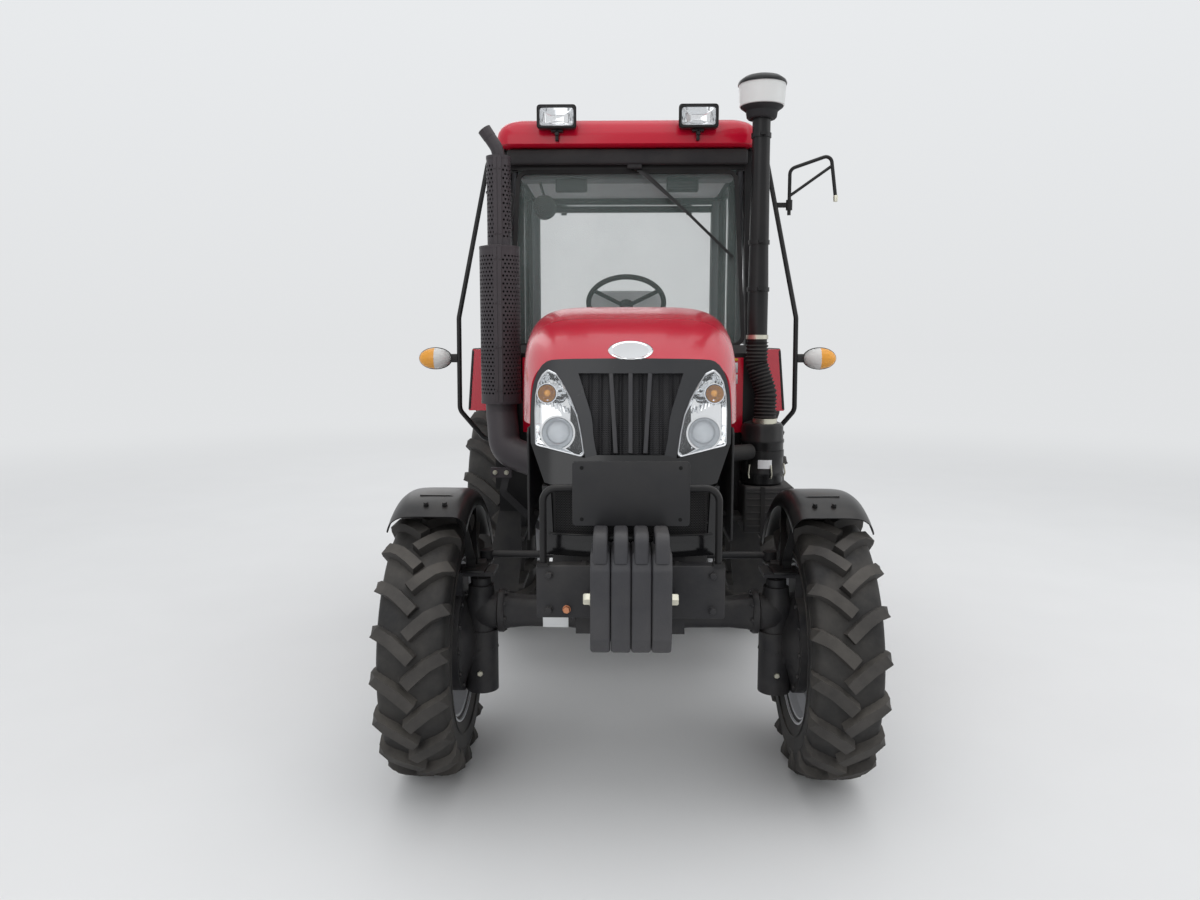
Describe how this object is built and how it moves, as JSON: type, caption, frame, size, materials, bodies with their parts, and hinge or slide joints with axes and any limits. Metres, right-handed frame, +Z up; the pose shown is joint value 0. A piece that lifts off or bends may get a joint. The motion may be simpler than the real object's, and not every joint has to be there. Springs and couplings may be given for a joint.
{
  "type": "farm tractor",
  "caption": "Four-wheel-drive farm tractor with a cab, front weights, upright exhaust and air intake, steered front wheels and a rear three-point linkage.",
  "frame": {"origin": "on the ground under the middle of the tractor's length and width", "axes": "+Z up, the tractor faces -Y, +X is its left-hand side"},
  "size_m": [2.09, 3.9199, 2.9359],
  "materials": {
    "red_paint": "glossy enamel, a little dusty",
    "black_paint": "satin black paint",
    "cast_grey": "painted casting, dusty",
    "rim_silver": "silver paint",
    "tyre": "matte rubber",
    "steel": "bare steel",
    "pane": "clear glass",
    "lamp_clear": "clear lens",
    "lamp_amber": "amber lens",
    "black_plastic": "moulded plastic",
    "seat_cover": "grey vinyl",
    "board_black": "satin black sheet",
    "guard_steel": "perforated steel"
  },
  "bodies": {
    "root": {"front_axle": "cast_grey", "engine_block": "cast_grey", "front_frame": "cast_grey", "transmission_case": "cast_grey", "rear_axle_case": "cast_grey", "drawbar": "black_paint", "weight_bracket": "black_paint", "front_weights": "cast_grey", "number_board": "board_black", "nose_panels": "black_plastic", "cab_frame": "black_paint", "cab_floor": "black_paint", "rear_fenders": "red_paint", "cab_roof": "red_paint", "cab_glass": "pane", "dash_console": "black_plastic", "seat": "seat_cover", "roof_lamps": "lamp_clear", "mirror_posts": "black_paint", "signal_lamps": "lamp_amber", "exhaust_pipe": "steel", "exhaust_guard": "guard_steel", "intake_stack": "black_plastic", "air_cleaner": "black_plastic", "battery_box": "black_plastic"},
    "bonnet": {"bonnet_top": "red_paint", "bonnet_mask": "black_plastic", "bonnet_grille": "black_plastic", "headlamps": "lamp_clear"},
    "door_left": {"door_frame_left": "black_paint", "door_glass_left": "pane"},
    "door_right": {"door_frame_right": "black_paint", "door_glass_right": "pane"},
    "rear_window": {"rear_window_frame": "black_paint", "rear_window_glass": "pane"},
    "steering_wheel_body": {"steering_wheel": "black_plastic"},
    "knuckle_body_left": {"knuckle_left": "cast_grey", "front_fender_left": "black_plastic"},
    "knuckle_body_right": {"knuckle_right": "cast_grey", "front_fender_right": "black_plastic"},
    "front_wheel_left": {"front_tyre_left": "tyre", "front_rim_left": "rim_silver"},
    "front_wheel_right": {"front_tyre_right": "tyre", "front_rim_right": "rim_silver"},
    "rear_wheel_left": {"rear_tyre_left": "tyre", "rear_rim_left": "rim_silver"},
    "rear_wheel_right": {"rear_tyre_right": "tyre", "rear_rim_right": "rim_silver"},
    "steering_slide": {"steering_rod": "steel"},
    "lift": {"lift_arms": "cast_grey"},
    "lift_rod_pair": {"lift_rods": "steel"},
    "lower_link_pair": {"lower_links": "cast_grey"},
    "top_link_body": {"top_link": "cast_grey"},
    "mirror_arm_body": {"mirror_arm": "black_paint"}
  },
  "joints": [
    {"name": "steer_left", "type": "hinge", "parent": "root", "child": "knuckle_body_left", "pos_m": [0.585, -1.11, 0.6], "axis": [0, 0, 1], "range_deg": [-38, 38]},
    {"name": "steer_right", "type": "hinge", "parent": "root", "child": "knuckle_body_right", "pos_m": [-0.585, -1.11, 0.6], "axis": [0, 0, 1], "range_deg": [-38, 38]},
    {"name": "front_spin_left", "type": "hinge", "parent": "knuckle_body_left", "child": "front_wheel_left", "pos_m": [0.768, -1.11, 0.525], "axis": [1, 0, 0], "continuous": true},
    {"name": "front_spin_right", "type": "hinge", "parent": "knuckle_body_right", "child": "front_wheel_right", "pos_m": [-0.768, -1.11, 0.525], "axis": [1, 0, 0], "continuous": true},
    {"name": "rear_spin_left", "type": "hinge", "parent": "root", "child": "rear_wheel_left", "pos_m": [0.71, 1.01, 0.7075], "axis": [1, 0, 0], "continuous": true},
    {"name": "rear_spin_right", "type": "hinge", "parent": "root", "child": "rear_wheel_right", "pos_m": [-0.71, 1.01, 0.7075], "axis": [1, 0, 0], "continuous": true},
    {"name": "steering_slide_travel", "type": "slide", "parent": "root", "child": "steering_slide", "axis": [-1, 0, 0], "range_m": [-0.0985, 0.0985]},
    {"name": "steering_wheel_turn", "type": "hinge", "parent": "root", "child": "steering_wheel_body", "pos_m": [0, 0.39, 1.91], "axis": [0, 0.6428, 0.766], "continuous": true},
    {"name": "bonnet_lift", "type": "hinge", "parent": "root", "child": "bonnet", "pos_m": [0, -0.182, 1.8], "axis": [-1, 0, 0], "range_deg": [0, 50]},
    {"name": "door_left_swing", "type": "hinge", "parent": "root", "child": "door_left", "pos_m": [0.6783, 0.729, 2], "axis": [0, 0, 1], "range_deg": [0, 75]},
    {"name": "door_right_swing", "type": "hinge", "parent": "root", "child": "door_right", "pos_m": [-0.6783, 0.729, 2], "axis": [0, 0, -1], "range_deg": [0, 75]},
    {"name": "rear_window_lift", "type": "hinge", "parent": "root", "child": "rear_window", "pos_m": [0, 1.325, 2.565], "axis": [1, 0, 0], "range_deg": [0, 60]},
    {"name": "mirror_arm_turn", "type": "hinge", "parent": "root", "child": "mirror_arm_body", "pos_m": [0.80998, 0.0379, 2.38], "axis": [0, 0, 1], "range_deg": [-35, 60]},
    {"name": "lift_raise", "type": "hinge", "parent": "root", "child": "lift", "pos_m": [0, 1.31, 0.975], "axis": [1, 0, 0], "range_deg": [0, 45]},
    {"name": "lift_rod_swing", "type": "hinge", "parent": "lift", "child": "lift_rod_pair", "pos_m": [0, 1.57, 1.015], "axis": [1, 0, 0], "range_deg": [-37.5, 0]},
    {"name": "lower_link_raise", "type": "hinge", "parent": "root", "child": "lower_link_pair", "pos_m": [0, 1.19, 0.49], "axis": [1, 0, 0], "range_deg": [0, 27.3]},
    {"name": "top_link_swing", "type": "hinge", "parent": "root", "child": "top_link_body", "pos_m": [0, 1.42, 0.86], "axis": [1, 0, 0], "range_deg": [-30, 40]}
  ],
  "couplings": [
    {"joint": "steer_right", "follows": "steer_left", "ratio": 1},
    {"joint": "steering_slide_travel", "follows": "steer_left", "m_per_rad": 0.1485},
    {"joint": "lift_rod_swing", "follows": "lift_raise", "ratio": -0.8333},
    {"joint": "lower_link_raise", "follows": "lift_raise", "ratio": 0.6067}
  ]
}
